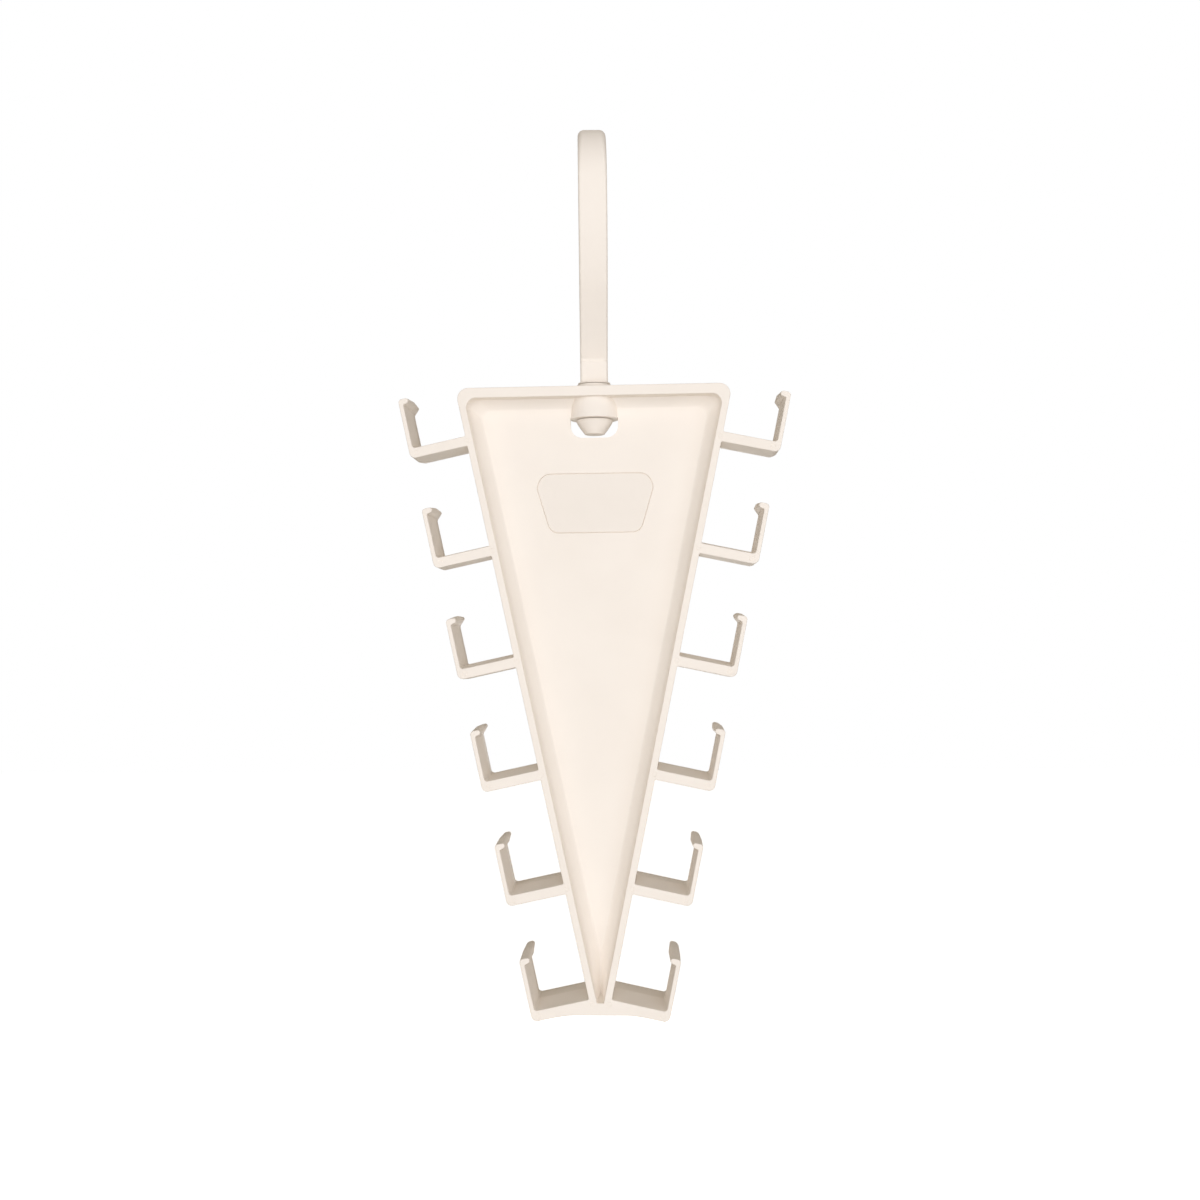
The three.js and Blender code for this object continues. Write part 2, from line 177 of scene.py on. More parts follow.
# Facets and mesh limits
ARC_STEPS = 8
EDGE_STEPS = 4
COVE_STEPS = 10
LATHE_STEPS = 96
BOW_STEPS_PER_RADIAN = 28
SMOOTH_BELOW = math.radians(38)
FACE_WEIGHT = 90
LEAST_MITRE = 0.5
LEAST_STEP = 0.01
LEAST_EDGE_RADIUS = 0.1
WELD_DISTANCE = 0.0005
PARTING_REACH = 0.01 * MM

# Studio: surround, floor and soft boxes, in metres and watts
AMBIENT_COLOUR = (1, 0.87, 0.64, 1)
AMBIENT_STRENGTH = 0.24
FLOOR_SIDE = 6
FLOOR_Z = -0.75
FLOOR_COLOUR = (0.62, 0.59, 0.54, 1)
FLOOR_ROUGHNESS = 0.9
FLOOR_GLOW = (0.88, 0.88, 0.89, 1)
BODY_MIDDLE = (0, 0, -0.2)
FRONT_PLACE = (0.1, -1, -0.15)
FRONT_SIZE = (2.6, 1.6)
FRONT_POWER = 21.8
FRONT_COLOUR = (0.905, 0.93, 1)
REAR_PLACE = (0, 1.2, -0.42)
REAR_SIZE = (0.3, 0.3)
REAR_POWER = 3.5
REAR_COLOUR = (0.92, 0.96, 1)

# Camera of the photograph: its frame, focal length and optical centre in pixels, its place and its turn
PHOTO_SIDE = 1200
PHOTO_FOCAL = 1067.81
PHOTO_CENTRE = (599.26, 534.08)
SENSOR_WIDTH = 36
CAMERA_PLACE = (0.018686, -0.402341, -0.167473)
CAMERA_TURN = (92.8046, 0.7018, 2.5167)
CAMERA_NEAR = 0.01

# Values that follow from these
rim_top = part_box("top_rail")[1].z / MM - PAD_RISE
slope = math.tan(LEAN)
spread = 1 / math.cos(LEAN)
last_root_z = -(FIRST_HOOK_DROP + (HOOK_ROWS - 1) * HOOK_PITCH) * math.cos(LEAN)
apex_z = last_root_z - APEX_BELOW_ARM
foot_z = last_root_z - ARM_THICK - FOOT_DROP
top_half = APEX_FLAT / 2 + RAIL_BAND * spread - apex_z * slope
crown_mid = CROWN_RADIUS - BOW_THICK / 2
bend_z = NECK_LOW_Z + NECK_HEIGHT
bend_and_flank = NECK_BEND_RADIUS + FLANK_RADIUS
bow_run = (crown_mid - bend_and_flank * (1 - math.cos(BOW_LEAN))) / math.sin(BOW_LEAN)
crown_z = bend_z + bend_and_flank * math.sin(BOW_LEAN) + bow_run * math.cos(BOW_LEAN)


def arc(cx, cz, radius, start, end, steps=ARC_STEPS):
    """Points on an arc, with angles in quarter turns."""
    points = []
    for i in range(steps + 1):
        turn = (start + (end - start) * i / steps) * math.pi / 2
        points.append((cx + radius * math.cos(turn), cz + radius * math.sin(turn)))
    return points


def bend(start, corner, end, steps=ARC_STEPS):
    """Points on a curve that leaves and arrives along the lines to a corner."""
    points = []
    for i in range(steps + 1):
        t = i / steps
        first = (1 - t) ** 2
        second = 2 * t * (1 - t)
        third = t * t
        points.append(tuple(first * a + second * b + third * c for a, b, c in zip(start, corner, end)))
    return points


def weighted(points, first, last):
    """Adds to each point how much of the mould's draft it takes, from the first share to the last."""
    count = max(len(points) - 1, 1)
    return [(u, v, first + (last - first) * i / count) for i, (u, v) in enumerate(points)]


def arm_underside(row):
    """From the rail out towards the hook's corner, in the side's frame: u outwards, v up along the side."""
    if row < HOOK_ROWS:
        return weighted(arc(ROOT_FILLET, -ARM_THICK - ROOT_FILLET, ROOT_FILLET, 2, 1), 0, 1), 1
    level = (foot_z - last_root_z) * spread
    meet = (-ARM_THICK - level) / slope
    start = (meet - FOOT_BLEND_IN, level + (meet - FOOT_BLEND_IN) * slope)
    end = (meet + FOOT_BLEND_OUT, -ARM_THICK)
    return weighted(bend(start, (meet, -ARM_THICK), end), 0, 0), 0


def between(first, last, share):
    """Point at a share of the way from the first to the last."""
    return tuple(a + (b - a) * share for a, b in zip(first, last))


def hook_points(row, back):
    """One hook from its underside round the barb to its root's top, at a share of the depth."""
    out_face = ARM_REACH + UPRIGHT_THICK
    tip = HOOK_TIP_RADIUS + back * (REAR_TIP_RADIUS - HOOK_TIP_RADIUS)
    nose = BARB_NOSE / 2
    nose_end = BARB_NOSE_END + back * (REAR_NOSE_END - BARB_NOSE_END)
    points, under = arm_underside(row)
    corner_u = out_face - HOOK_CORNER_RADIUS
    corner_v = HOOK_CORNER_RADIUS - ARM_THICK
    points += weighted(arc(corner_u, corner_v, HOOK_CORNER_RADIUS, -1, 0), under, 0)
    nose_arc = arc(ARM_REACH - BARB_REACH + nose, UPRIGHT_RISE - nose, nose, 1, nose_end)
    points += weighted(arc(out_face - tip, UPRIGHT_RISE - tip, tip, 0, 1), 0, BARB_DRAFT)
    points += weighted(nose_arc, BARB_DRAFT, BARB_DRAFT)
    wedge_start = points[-1][:2]
    wedge_end = (ARM_REACH, UPRIGHT_RISE - BARB_DROP - back * (REAR_BARB_DROP - BARB_DROP))
    fillet_start = between(wedge_end, wedge_start, BARB_FILLET / math.dist(wedge_start, wedge_end))
    fillet_end = (ARM_REACH, wedge_end[1] - BARB_FILLET)
    points += weighted(bend(fillet_start, wedge_end, fillet_end), BARB_DRAFT, 1)
    inner_u = ARM_REACH - HOOK_INNER_RADIUS
    points += weighted(arc(inner_u, HOOK_INNER_RADIUS, HOOK_INNER_RADIUS, 0, -1), 1, 1)
    points += weighted(arc(ROOT_FILLET, ROOT_FILLET, ROOT_FILLET, 3, 2), 1, 0)
    return points


def corner_centre(side_inset, top_inset, radius):
    """Centre of a round top corner that lies inside the rim's outer edge by the insets."""
    z = -top_inset - radius
    return top_half + z * slope - (side_inset + radius) * spread, z


def side_place(u, v, drop):
    """From the right side's frame, at a hook that lies a drop down the side, to x and z."""
    x = top_half + u * math.cos(LEAN) + (v - drop) * math.sin(LEAN)
    return x, (v - drop) * math.cos(LEAN) - u * math.sin(LEAN)


def body_outline(back):
    """Outer edge at a share of the depth, anticlockwise from the foot, as x, z and share of draft."""
    right = []
    for row in range(HOOK_ROWS, 0, -1):
        drop = FIRST_HOOK_DROP + (row - 1) * HOOK_PITCH
        right += [(*side_place(u, v, drop), share) for u, v, share in hook_points(row, back)]
    cx, cz = corner_centre(0, 0, RIM_CORNER_RADIUS)
    right += weighted(arc(cx, cz, RIM_CORNER_RADIUS, -LEAN / (math.pi / 2), 1), 0, 0)
    return right + [(-x, z, share) for x, z, share in reversed(right)]


def outward(points):
    """Mitred outward direction at each point of an anticlockwise loop."""
    count = len(points)
    result = []
    for i in range(count):
        here = Vector(points[i][:2])
        before = (here - Vector(points[i - 1][:2])).normalized()
        after = (Vector(points[(i + 1) % count][:2]) - here).normalized()
        normal = Vector((before.y + after.y, -before.x - after.x)).normalized()
        result.append(normal / max(normal.dot(Vector((after.y, -after.x))), LEAST_MITRE))
    return result


def draft(y):
    """How far the hooks' inner faces have grown at a depth."""
    if y < PARTING_Y:
        return DRAFT_GROWTH * (y + HALF_DEPTH) / (PARTING_Y + HALF_DEPTH)
    return DRAFT_GROWTH + (REAR_GROWTH - DRAFT_GROWTH) * (y - PARTING_Y) / (HALF_DEPTH - PARTING_Y)


def edge_levels(radius):
    """Depth from the face and inset from the wall along a rounded edge, from the face to the wall."""
    levels = []
    for i in range(EDGE_STEPS + 1):
        turn = i / EDGE_STEPS * math.pi / 2
        levels.append((radius * (1 - math.cos(turn)), radius * (1 - math.sin(turn))))
    return levels


def outer_rings():
    """Outer skin from the front's rounded edge to the back's, with the draft."""
    levels = [(depth - HALF_DEPTH, inset) for depth, inset in edge_levels(EDGE_ROUND)]
    levels.append((PARTING_Y, 0))
    levels += [(HALF_DEPTH - depth, inset) for depth, inset in reversed(edge_levels(EDGE_ROUND))]
    rings = []
    for y, inset in levels:
        points = body_outline((y + HALF_DEPTH) / (2 * HALF_DEPTH))
        ring = []
        for (x, z, share), normal in zip(points, outward(points)):
            move = draft(y) * share - inset
            ring.append((x + normal.x * move, y, z + normal.y * move))
        rings.append(ring)
    return rings


def tray_ring(side_inset, top_inset, width, radius, y):
    """One ring of a cove of a given width; below the floor's end the sides close up to the apex."""
    cx, cz = corner_centre(side_inset, top_inset, radius)
    inset = side_inset - RAIL_BAND
    narrow_z = ((RAIL_BAND + width) * spread - top_half) / slope
    narrow_half = max((width - inset) * spread, VALLEY_HALF)
    low_half = max(APEX_FLAT / 2 * (1 - inset / width), VALLEY_HALF)
    low_z = apex_z + inset * (FOOT_SLOPE if inset > 0 else 1)
    lean = LEAN / (math.pi / 2)
    points = [(-narrow_half, narrow_z), (-low_half, low_z), (low_half, low_z), (narrow_half, narrow_z)]
    points += arc(cx, cz, radius, -lean, 1)
    points += arc(-cx, cz, radius, 1, 2 + lean)
    return [(x, y, z) for x, z in points]


def cove_inset(share, width, wall):
    """How far in a cove has come at a share of its depth: wall, chamfer, then a bend that ends level."""
    if share <= wall:
        return WALL_DRAFT * share / wall
    corner = WALL_DRAFT + COVE_LEAD * (width - WALL_DRAFT)
    bend_share = wall + CHAMFER_SHARE * (1 - wall)
    along = WALL_DRAFT + (corner - WALL_DRAFT) * (min(share, bend_share) - wall) / (1 - wall)
    if share <= bend_share:
        return along
    t = 1 - math.sqrt((1 - share) / (1 - bend_share))
    return (1 - t) ** 2 * along + 2 * t * (1 - t) * corner + t * t * width


def cove_rings(rim_y, floor_y, side_cove, top_cove):
    """From the rim's face over its rounded inner edge and down a cove to the floor."""
    inwards = 1 if floor_y > rim_y else -1
    rings = []
    for depth, inset in edge_levels(RIM_ROUND)[:-1]:
        ring_radius = TRAY_CORNER_RADIUS + inset
        y = rim_y + inwards * depth
        rings.append(tray_ring(RAIL_BAND - inset, TOP_BAND - inset, side_cove, ring_radius, y))
    start_y = rim_y + inwards * RIM_ROUND
    shares = [0, SIDE_WALL, TOP_WALL]
    for wall in (SIDE_WALL, TOP_WALL):
        bend_room = (1 - CHAMFER_SHARE) * (1 - wall)
        shares += [1 - bend_room * (1 - i / COVE_STEPS) ** 2 for i in range(COVE_STEPS)]
    for share in sorted(shares) + [1]:
        y = start_y + (floor_y - start_y) * share
        side_inset = RAIL_BAND + cove_inset(share, side_cove, SIDE_WALL)
        top_inset = TOP_BAND + cove_inset(share, top_cove, TOP_WALL)
        rings.append(tray_ring(side_inset, top_inset, side_cove, TRAY_CORNER_RADIUS, y))
    return rings


def window_ring(y):
    """Edge of the window in the tray at a depth: square above, round below."""
    half = WINDOW_HALF - WINDOW_RADIUS
    low = WINDOW_LOW_Z + WINDOW_RADIUS
    points = [(WINDOW_HALF, WINDOW_TOP_Z), (-WINDOW_HALF, WINDOW_TOP_Z)]
    points += arc(-half, low, WINDOW_RADIUS, 2, 3)
    points += arc(half, low, WINDOW_RADIUS, 3, 4)
    return [(x, y, z) for x, z in points]


def label_ring(inset, y):
    """Outline of the label place, moved in by an inset."""
    right = bend((LABEL_LOW_HALF, LABEL_LOW_Z), LABEL_LOW_CORNER, LABEL_NARROW)
    right += bend(LABEL_WIDEST, LABEL_TOP_CORNER, (LABEL_TOP_HALF, LABEL_TOP_Z))
    loop = right + [(-x, z) for x, z in reversed(right)]
    ring = []
    for (x, z), normal in zip(loop, outward(loop)):
        ring.append((x - normal.x * inset, y, z - normal.y * inset))
    return ring


def pin_rings(x, z):
    """Fine round groove about a point on the front."""
    rings = []
    for inset, depth in ((0, 0), (PIN_GROOVE / 2, PIN_DEPTH), (PIN_GROOVE, 0)):
        loop = arc(x, z, PIN_RADIUS - inset, 0, 4, PIN_STEPS)[:-1]
        rings.append([(a, depth - HALF_DEPTH, b) for a, b in loop])
    return rings


def pin_marks(bm):
    """Round witness marks on the front; returns their outer edges."""
    edges = []
    for row in range(HOOK_ROWS):
        for u, v in PIN_PLACES:
            x, z = side_place(u, v, FIRST_HOOK_DROP + row * HOOK_PITCH)
            for side in (-1, 1):
                edge, face = add_rings(bm, pin_rings(side * x, z))
                fill_between(bm, face)
                edges.append(edge)
    return edges


def add_rings(bm, rings):
    """Skin over a row of closed rings; returns the first and the last ring's vertices."""
    rows = [[bm.verts.new(Vector(point)) for point in ring] for ring in rings]
    for low, high in zip(rows, rows[1:]):
        for i in range(len(low)):
            j = (i + 1) % len(low)
            bm.faces.new((low[i], low[j], high[j], high[i]))
    return rows[0], rows[-1]


def fill_between(bm, *loops):
    """Flat face inside the first loop and outside the others."""
    edges = []
    for loop in loops:
        for a, b in zip(loop, loop[1:] + loop[:1]):
            edges.append(bm.edges.get((a, b)) or bm.edges.new((a, b)))
    filled = bmesh.ops.triangle_fill(bm, use_beauty=True, use_dissolve=False, edges=edges)
    return [item for item in filled["geom"] if isinstance(item, bmesh.types.BMFace)]


def finish_mesh(bm, name):
    """Weld, face outwards, go to metres under the rim's top line, and hand over as an object."""
    bmesh.ops.remove_doubles(bm, verts=bm.verts, dist=WELD_DISTANCE)
    bmesh.ops.recalc_face_normals(bm, faces=bm.faces)
    mesh = bpy.data.meshes.new(name)
    bm.to_mesh(mesh)
    bm.free()
    mesh.transform(Matrix.Scale(MM, 4) @ Matrix.Translation((0, 0, rim_top)))
    obj = bpy.data.objects.new(name, mesh)
    bpy.context.scene.collection.objects.link(obj)
    return obj


def lathe(name, profile):
    """Turned solid from (radius, z) pairs that start and end on the axis."""
    bm = bmesh.new()
    axis = [bm.verts.new((0, 0, profile[0][1])), bm.verts.new((0, 0, profile[-1][1]))]
    rings = []
    for radius, z in profile[1:-1]:
        ring = []
        for i in range(LATHE_STEPS):
            turn = i / LATHE_STEPS * 2 * math.pi
            ring.append((radius * math.cos(turn), radius * math.sin(turn), z))
        rings.append(ring)
    ends = add_rings(bm, rings)
    for centre, ring in zip(axis, ends):
        for i in range(LATHE_STEPS):
            bm.faces.new((centre, ring[i], ring[(i + 1) % LATHE_STEPS]))
    return finish_mesh(bm, name)


def combine(obj, tool, operation):
    """Joins or cuts a solid with another one, which is used up."""
    modifier = obj.modifiers.new("combine", "BOOLEAN")
    modifier.operation = operation
    modifier.solver = "EXACT"
    modifier.object = tool
    bpy.context.view_layer.update()
    shown = obj.evaluated_get(bpy.context.evaluated_depsgraph_get())
    mesh = bpy.data.meshes.new_from_object(shown)
    obj.modifiers.clear()
    obj.data = mesh
    bpy.data.objects.remove(tool)


def shade(obj, sharp_y=None):
    """Smooth shading that keeps flat faces flat, sharp at corners and along the parting line."""
    mesh = obj.data
    mesh.shade_smooth()
    mesh.set_sharp_from_angle(angle=SMOOTH_BELOW)
    if sharp_y is not None:
        for edge in mesh.edges:
            ends = [mesh.vertices[i].co.y for i in edge.vertices]
            if max(abs(y - sharp_y) for y in ends) < PARTING_REACH:
                edge.use_edge_sharp = True
    modifier = obj.modifiers.new("even_shading", "WEIGHTED_NORMAL")
    modifier.keep_sharp = True
    modifier.weight = FACE_WEIGHT


def body_moulding():
    """Rim, tray, label place and hooks as one skin, then joined with boss and pad and bored."""
    bm = bmesh.new()
    outer_front, outer_back = add_rings(bm, outer_rings())
    rim_front, floor_front = add_rings(bm, cove_rings(-HALF_DEPTH, FLOOR_Y, SIDE_COVE, TOP_COVE))
    rim_back, floor_back = add_rings(bm, cove_rings(HALF_DEPTH, BACK_Y, BACK_COVE, BACK_COVE))
    window_front, window_back = add_rings(bm, [window_ring(FLOOR_Y), window_ring(BACK_Y)])
    label_levels = ((0, 0), (LABEL_GROOVE / 2, LABEL_DEPTH), (LABEL_GROOVE, 0))
    label_rings = [label_ring(inset, FLOOR_Y + depth) for inset, depth in label_levels]
    label_edge, label_face = add_rings(bm, label_rings)
    fill_between(bm, outer_front, rim_front, *pin_marks(bm))
    fill_between(bm, outer_back, rim_back)
    fill_between(bm, floor_front, window_front, label_edge)
    fill_between(bm, floor_back, window_back)
    for face in fill_between(bm, label_face):
        face.material_index = 1
    body = finish_mesh(bm, "body_moulding")
    body.data.materials.append(ivory("body_ivory", 1))
    body.data.materials.append(ivory("label_ivory", LABEL_SHADE))
    boss_round = arc(BOSS_RADIUS - BOSS_ROUND, BOSS_LOW_Z + BOSS_ROUND, BOSS_ROUND, 0, -1, EDGE_STEPS)
    boss = [(0, -TOP_BAND / 2), (BOSS_TOP_RADIUS, -TOP_BAND / 2)] + boss_round + [(0, BOSS_LOW_Z)]
    combine(body, lathe("boss", boss), "UNION")
    pad_round = arc(PAD_RADIUS - RIM_ROUND, PAD_RISE - RIM_ROUND, RIM_ROUND, 0, 1, EDGE_STEPS)
    pad = [(0, -TOP_BAND / 2), (PAD_RADIUS, -TOP_BAND / 2)] + pad_round + [(0, PAD_RISE)]
    combine(body, lathe("pad", pad), "UNION")
    low, high = BOSS_LOW_Z - PAD_RISE, 2 * PAD_RISE
    bore = [(0, low), (BORE_RADIUS, low), (BORE_RADIUS, high), (0, high)]
    combine(body, lathe("bore", bore), "DIFFERENCE")
    shade(body, PARTING_Y * MM)
    return body


def turned_pin():
    """Collar, shaft and snap head, turned as one."""
    round_radius = COLLAR_RADIUS - COLLAR_ROUND
    collar = arc(round_radius, COLLAR_LOW_Z + COLLAR_ROUND, COLLAR_ROUND, -1, 0, EDGE_STEPS)
    collar += arc(round_radius, NECK_LOW_Z - COLLAR_ROUND, COLLAR_ROUND, 0, 1, EDGE_STEPS)
    cone_z = HEAD_TIP_Z + TIP_ROUND
    cone = []
    for i in range(ARC_STEPS + 1):
        t = i / ARC_STEPS
        bulge = HEAD_BULGE * math.sin(math.pi * t)
        radius = HEAD_TIP_RADIUS + (HEAD_RADIUS - HEAD_TIP_RADIUS) * t + bulge
        cone.append((radius, cone_z + t * (HEAD_LIP_Z - cone_z)))
    profile = [(0, HEAD_TIP_Z), (HEAD_TIP_RADIUS - TIP_FLAT_INSET, HEAD_TIP_Z)]
    profile.append((HEAD_TIP_RADIUS - TIP_EDGE_INSET, HEAD_TIP_Z + TIP_EDGE_RISE))
    profile += cone
    profile += [(HEAD_RADIUS, HEAD_TOP_Z - HEAD_EDGE), (HEAD_RADIUS - HEAD_EDGE, HEAD_TOP_Z)]
    profile += [(SHAFT_RADIUS, HEAD_TOP_Z), (SHAFT_RADIUS, COLLAR_LOW_Z)] + collar + [(0, NECK_LOW_Z)]
    pin = lathe("swivel_pin", profile)
    shade(pin)
    return pin


def oblong(width, thick, radius, steps=ARC_STEPS):
    """Rounded oblong about its own centre."""
    right = width / 2 - radius
    top = thick / 2 - radius
    points = arc(right, top, radius, 0, 1, steps) + arc(-right, top, radius, 1, 2, steps)
    return points + arc(-right, -top, radius, 2, 3, steps) + arc(right, -top, radius, 3, 4, steps)


def bow_line():
    """Middle line of the bow as forward distance, z and heading, out of the neck to the free end."""
    arcs = [
        (NECK_BEND_RADIUS, bend_z, NECK_BEND_RADIUS, math.pi, math.pi - BOW_LEAN),
        (crown_mid - FLANK_RADIUS, crown_z, FLANK_RADIUS, -BOW_LEAN, 0),
        (0, crown_z, crown_mid, 0, math.pi),
        (FLANK_RADIUS - crown_mid, crown_z, FLANK_RADIUS, math.pi, math.pi + BOW_TIP_SWEEP),
    ]
    line = [(0, bend_z - NECK_HEIGHT / 2, 0, 1)]
    for cx, cz, radius, start, stop in arcs:
        way = 1 if stop > start else -1
        per_radian = BOW_STEPS_PER_RADIAN * max(1, radius / crown_mid)
        steps = max(ARC_STEPS, round(abs(stop - start) * per_radian))
        for i in range(steps + 1):
            turn = start + (stop - start) * i / steps
            place = (cx + radius * math.cos(turn), cz + radius * math.sin(turn))
            if math.dist(place, line[-1][:2]) > LEAST_STEP:
                line.append((*place, -math.sin(turn) * way, math.cos(turn) * way))
    return line


def edge_radius(forward, z):
    """Edges are crisp on the stem and turn round as the ribbon goes over the crown."""
    over = min(max((z - crown_z) / crown_mid, 0), 1) if forward > 0 else 1
    return STEM_EDGE_RADIUS + (CROWN_EDGE_RADIUS - STEM_EDGE_RADIUS) * over * over * (3 - 2 * over)


def ribbon_ring(place, inset):
    """The bow's section at a place on its middle line."""
    forward, z, ahead, up = place
    radius = max(edge_radius(forward, z) - inset, LEAST_EDGE_RADIUS)
    section = oblong(BOW_WIDTH - 2 * inset, BOW_THICK - 2 * inset, radius)
    return [(a, -(forward + b * up), z - b * ahead) for a, b in section]


def rod_bow():
    """Ribbon along the middle line, with a rounded free end."""
    line = bow_line()
    rings = [ribbon_ring(place, 0) for place in line]
    forward, z, ahead, up = line[-1]
    half = BOW_THICK / 2
    for i in range(1, ARC_STEPS):
        turn = i / ARC_STEPS * math.pi / 2
        reach = math.sin(turn) * half
        tip = (forward + ahead * reach, z + up * reach, ahead, up)
        rings.append(ribbon_ring(tip, (1 - math.cos(turn)) * half))
    bm = bmesh.new()
    first, last = add_rings(bm, rings)
    bm.faces.new(first)
    bm.faces.new(last)
    bow = finish_mesh(bm, "rod_bow")
    shade(bow)
    return bow


def rod_neck():
    """Block between the collar and the bow, with its top edge rounded over."""
    rings = []
    for depth, inset in edge_levels(NECK_ROUND):
        section = oblong(BOW_WIDTH - 2 * inset, NECK_THICK - 2 * inset, STEM_EDGE_RADIUS - inset)
        rings.append([(a, b, NECK_LOW_Z + NECK_HEIGHT - depth) for a, b in section])
    rings.append([(a, b, NECK_LOW_Z - NECK_SINK) for a, b, z in rings[-1]])
    bm = bmesh.new()
    first, last = add_rings(bm, rings)
    bm.faces.new(first)
    bm.faces.new(last)
    neck = finish_mesh(bm, "rod_neck")
    shade(neck)
    return neck


def ivory(name, level):
    """Matte ivory plastic with a faint cloudiness and a fine moulded texture."""
    material = bpy.data.materials.new(name)
    material.use_nodes = True
    nodes = material.node_tree.nodes
    links = material.node_tree.links
    shader = nodes["Principled BSDF"]
    shader.inputs["Specular IOR Level"].default_value = SPECULAR_LEVEL
    place = nodes.new("ShaderNodeTexCoord")
    cloud = nodes.new("ShaderNodeTexNoise")
    cloud.inputs["Scale"].default_value = CLOUD_SCALE
    cloud.inputs["Detail"].default_value = CLOUD_DETAIL
    tone = nodes.new("ShaderNodeValToRGB")
    for stop, position, colour in zip(tone.color_ramp.elements, CLOUD_STOPS, IVORY_RANGE):
        stop.position = position
        stop.color = (*(level * channel for channel in colour), 1)
    sheen = nodes.new("ShaderNodeMapRange")
    sheen.inputs["To Min"].default_value = ROUGHNESS_RANGE[0]
    sheen.inputs["To Max"].default_value = ROUGHNESS_RANGE[1]
    grain = nodes.new("ShaderNodeTexNoise")
    grain.inputs["Scale"].default_value = GRAIN_SCALE
    bump = nodes.new("ShaderNodeBump")
    bump.inputs["Strength"].default_value = GRAIN_STRENGTH
    bump.inputs["Distance"].default_value = GRAIN_DEPTH
    links.new(place.outputs["Object"], cloud.inputs["Vector"])
    links.new(place.outputs["Object"], grain.inputs["Vector"])
    links.new(cloud.outputs["Fac"], tone.inputs["Fac"])
    links.new(tone.outputs["Color"], shader.inputs["Base Color"])
    links.new(cloud.outputs["Fac"], sheen.inputs["Value"])
    links.new(sheen.outputs["Result"], shader.inputs["Roughness"])
    links.new(grain.outputs["Fac"], bump.inputs["Height"])
    links.new(bump.outputs["Normal"], shader.inputs["Normal"])
    return material


def dress(obj, slot, body, *nodes):
    """Hands a piece over: the body it rides on and the nodes it stands for. The slot argument is not used.
    """
    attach(obj, body)
    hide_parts(*nodes)


# The body and the swivel hook, each with the nodes it stands for
hooks = [f"{side}_hook_{row}" for side in ("left", "right") for row in range(1, HOOK_ROWS + 1)]
body_nodes = ["top_rail", "left_rail", "right_rail", "foot_bridge", "tray_panel", "swivel_boss"] + hooks
dress(body_moulding(), "body_plastic", "hanger_body", *body_nodes)

hook_ivory = ivory("hook_ivory", 1)
swivel = [
    (rod_bow(), ["hook_bow"]),
    (rod_neck(), ["hook_neck"]),
    (turned_pin(), ["swivel_shaft", "snap_head"]),
]
for obj, nodes in swivel:
    obj.data.transform(Matrix.Rotation(HOOK_TURN, 4, "Z"))
    obj.data.materials.append(hook_ivory)
    dress(obj, "hook_plastic", "swivel_hook", *nodes)


def seen_white(tree, plain):
    """Mixes a plain shader with pure white for what the camera, gloss and glass see."""
    nodes = tree.nodes
    path = nodes.new("ShaderNodeLightPath")
    camera_or_gloss = nodes.new("ShaderNodeMath")
    camera_or_gloss.operation = "MAXIMUM"
    any_sight = nodes.new("ShaderNodeMath")
    any_sight.operation = "MAXIMUM"
    tree.links.new(path.outputs["Is Camera Ray"], camera_or_gloss.inputs[0])
    tree.links.new(path.outputs["Is Glossy Ray"], camera_or_gloss.inputs[1])
    tree.links.new(camera_or_gloss.outputs[0], any_sight.inputs[0])
    tree.links.new(path.outputs["Is Transmission Ray"], any_sight.inputs[1])
    white = nodes.new("ShaderNodeEmission")
    white.inputs["Strength"].default_value = 1
    mix = nodes.new("ShaderNodeMixShader")
    tree.links.new(any_sight.outputs[0], mix.inputs["Fac"])
    tree.links.new(plain, mix.inputs[1])
    tree.links.new(white.outputs[0], mix.inputs[2])
    return mix.outputs[0]


# World: dim all round, white where it is looked at
world = bpy.data.worlds.new("studio")
bpy.context.scene.world = world
world.use_nodes = True
ambient = world.node_tree.nodes["Background"]
ambient.inputs["Color"].default_value = AMBIENT_COLOUR
ambient.inputs["Strength"].default_value = AMBIENT_STRENGTH
world_out = world.node_tree.nodes["World Output"]
shown = seen_white(world.node_tree, ambient.outputs[0])
world.node_tree.links.new(shown, world_out.inputs["Surface"])

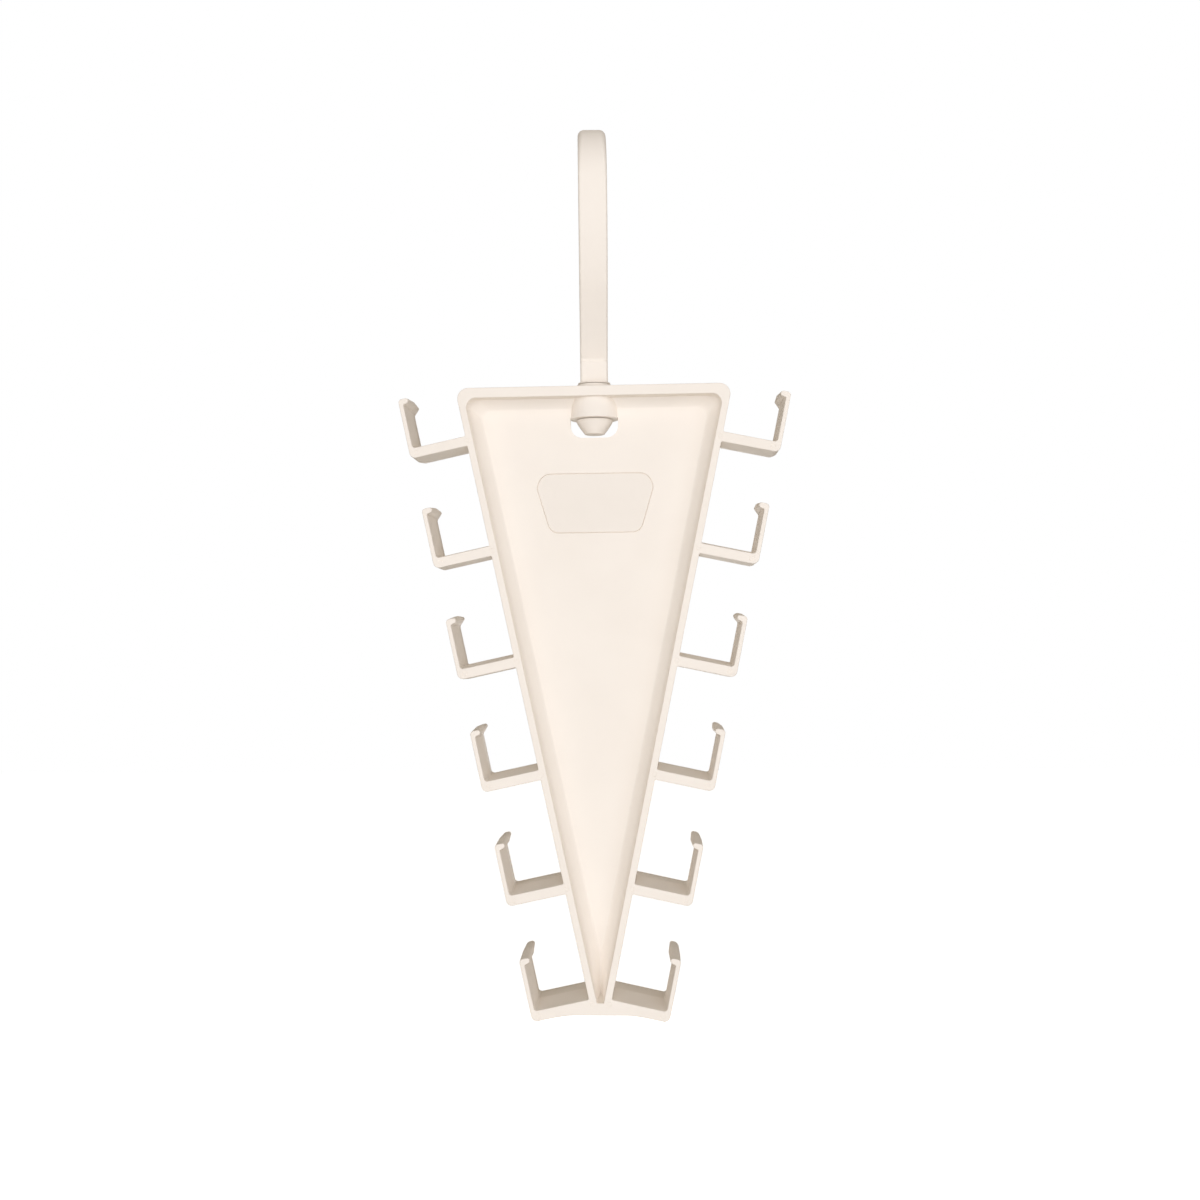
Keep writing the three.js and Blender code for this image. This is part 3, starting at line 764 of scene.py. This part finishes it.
# Floor: pale, well below the hanging object, and a little less than white where the shadow falls
bm = bmesh.new()
bmesh.ops.create_grid(bm, x_segments=1, y_segments=1, size=FLOOR_SIDE / 2)
floor_mesh = bpy.data.meshes.new("floor")
bm.to_mesh(floor_mesh)
bm.free()
floor = bpy.data.objects.new("floor", floor_mesh)
floor.location.z = FLOOR_Z
bpy.context.scene.collection.objects.link(floor)
floor_paint = bpy.data.materials.new("floor_paint")
floor_paint.use_nodes = True
paint = floor_paint.node_tree
matte = paint.nodes["Principled BSDF"]
matte.inputs["Base Color"].default_value = FLOOR_COLOUR
matte.inputs["Roughness"].default_value = FLOOR_ROUGHNESS
glow = paint.nodes.new("ShaderNodeEmission")
sight = paint.nodes.new("ShaderNodeLightPath")
paint.links.new(sight.outputs["Is Camera Ray"], glow.inputs["Strength"])
glow.inputs["Color"].default_value = FLOOR_GLOW
both = paint.nodes.new("ShaderNodeAddShader")
paint.links.new(matte.outputs[0], both.inputs[0])
paint.links.new(glow.outputs[0], both.inputs[1])
paint.links.new(both.outputs[0], paint.nodes["Material Output"].inputs["Surface"])
floor_mesh.materials.append(floor_paint)


def soft_box(name, place, size, power, colour):
    """Rectangular lamp that faces the middle of the body."""
    light = bpy.data.lights.new(name, "AREA")
    light.shape = "RECTANGLE"
    light.color = colour
    light.size, light.size_y = size
    light.energy = power
    obj = bpy.data.objects.new(name, light)
    obj.location = place
    obj.rotation_euler = (Vector(BODY_MIDDLE) - Vector(place)).to_track_quat("-Z", "Y").to_euler()
    bpy.context.scene.collection.objects.link(obj)


soft_box("front_box", FRONT_PLACE, FRONT_SIZE, FRONT_POWER, FRONT_COLOUR)
soft_box("rear_box", REAR_PLACE, REAR_SIZE, REAR_POWER, REAR_COLOUR)

# Camera at the photograph's place
camera = bpy.data.cameras.new("photo_camera")
camera.sensor_width = SENSOR_WIDTH
camera.sensor_fit = "HORIZONTAL"
camera.lens = SENSOR_WIDTH * PHOTO_FOCAL / PHOTO_SIDE
camera.shift_x = (PHOTO_SIDE / 2 - PHOTO_CENTRE[0]) / PHOTO_SIDE
camera.shift_y = (PHOTO_CENTRE[1] - PHOTO_SIDE / 2) / PHOTO_SIDE
camera.clip_start = CAMERA_NEAR
photo_camera = bpy.data.objects.new("photo_camera", camera)
photo_camera.location = CAMERA_PLACE
photo_camera.rotation_euler = Euler([math.radians(angle) for angle in CAMERA_TURN], "XYZ")
bpy.context.scene.collection.objects.link(photo_camera)
bpy.context.scene.camera = photo_camera
bpy.context.scene.view_settings.view_transform = "Standard"
